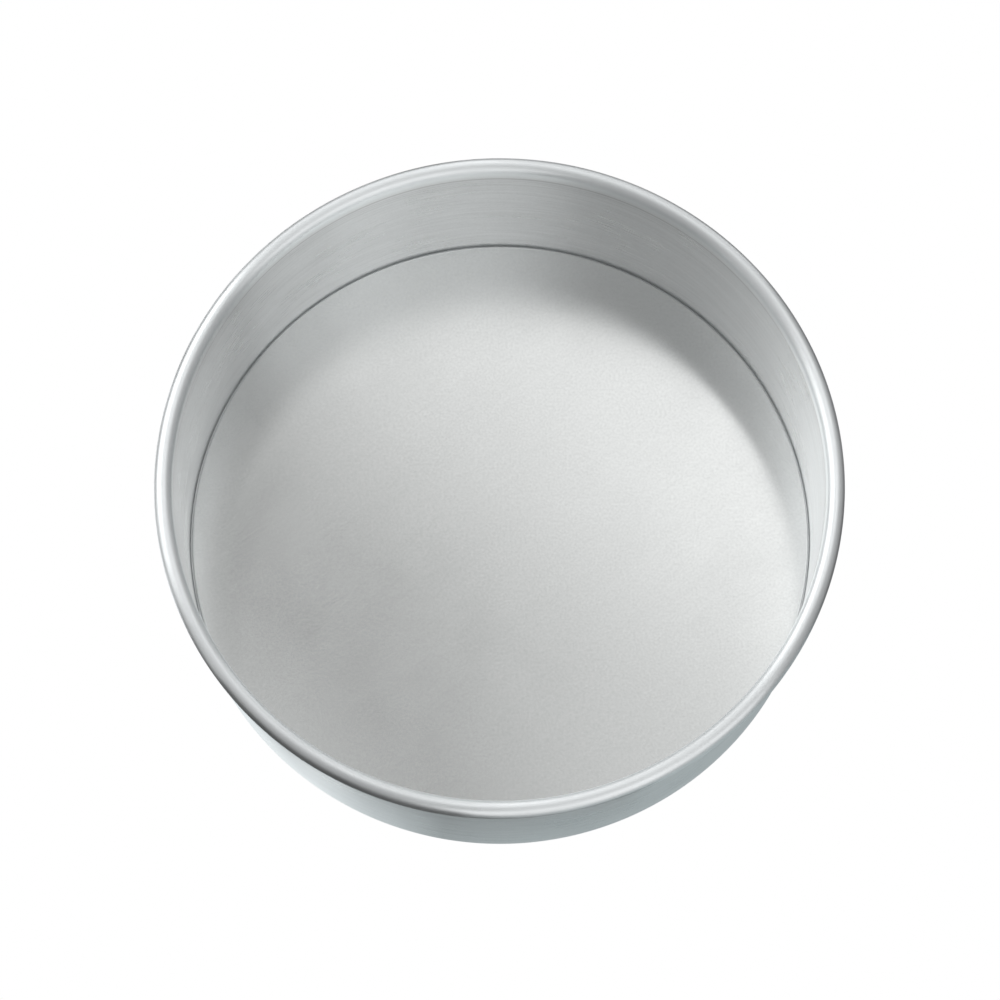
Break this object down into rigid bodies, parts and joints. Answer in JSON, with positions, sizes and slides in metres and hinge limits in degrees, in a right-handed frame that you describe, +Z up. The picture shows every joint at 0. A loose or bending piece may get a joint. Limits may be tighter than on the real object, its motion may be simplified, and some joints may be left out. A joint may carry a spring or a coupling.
{
  "type": "round loose-based cake tin",
  "caption": "Deep round cake tin in satin aluminium with a rolled wired rim and a loose flat base that lifts out.",
  "frame": {"origin": "centre of the plane the tin stands on, on the tin's axis", "axes": "+Z up along the tin's axis, from the base towards the open mouth; X and Y are free, as the tin is round"},
  "size_m": [0.243, 0.243, 0.075],
  "materials": {
    "wall_aluminium": "satin, with fine lines round the tin from spinning and a smoother, brighter rim",
    "base_aluminium": "satin rolled sheet with a fine straight grain",
    "wire_steel": "drawn wire, hidden inside the rim"
  },
  "bodies": {
    "tin": {"tin_wall": "wall_aluminium", "rim_wire": "wire_steel"},
    "base": {"loose_base": "base_aluminium"}
  },
  "joints": [
    {"name": "base_lift", "type": "slide", "parent": "tin", "child": "base", "axis": [0, 0, 1], "range_m": [0, 0.0838]}
  ]
}
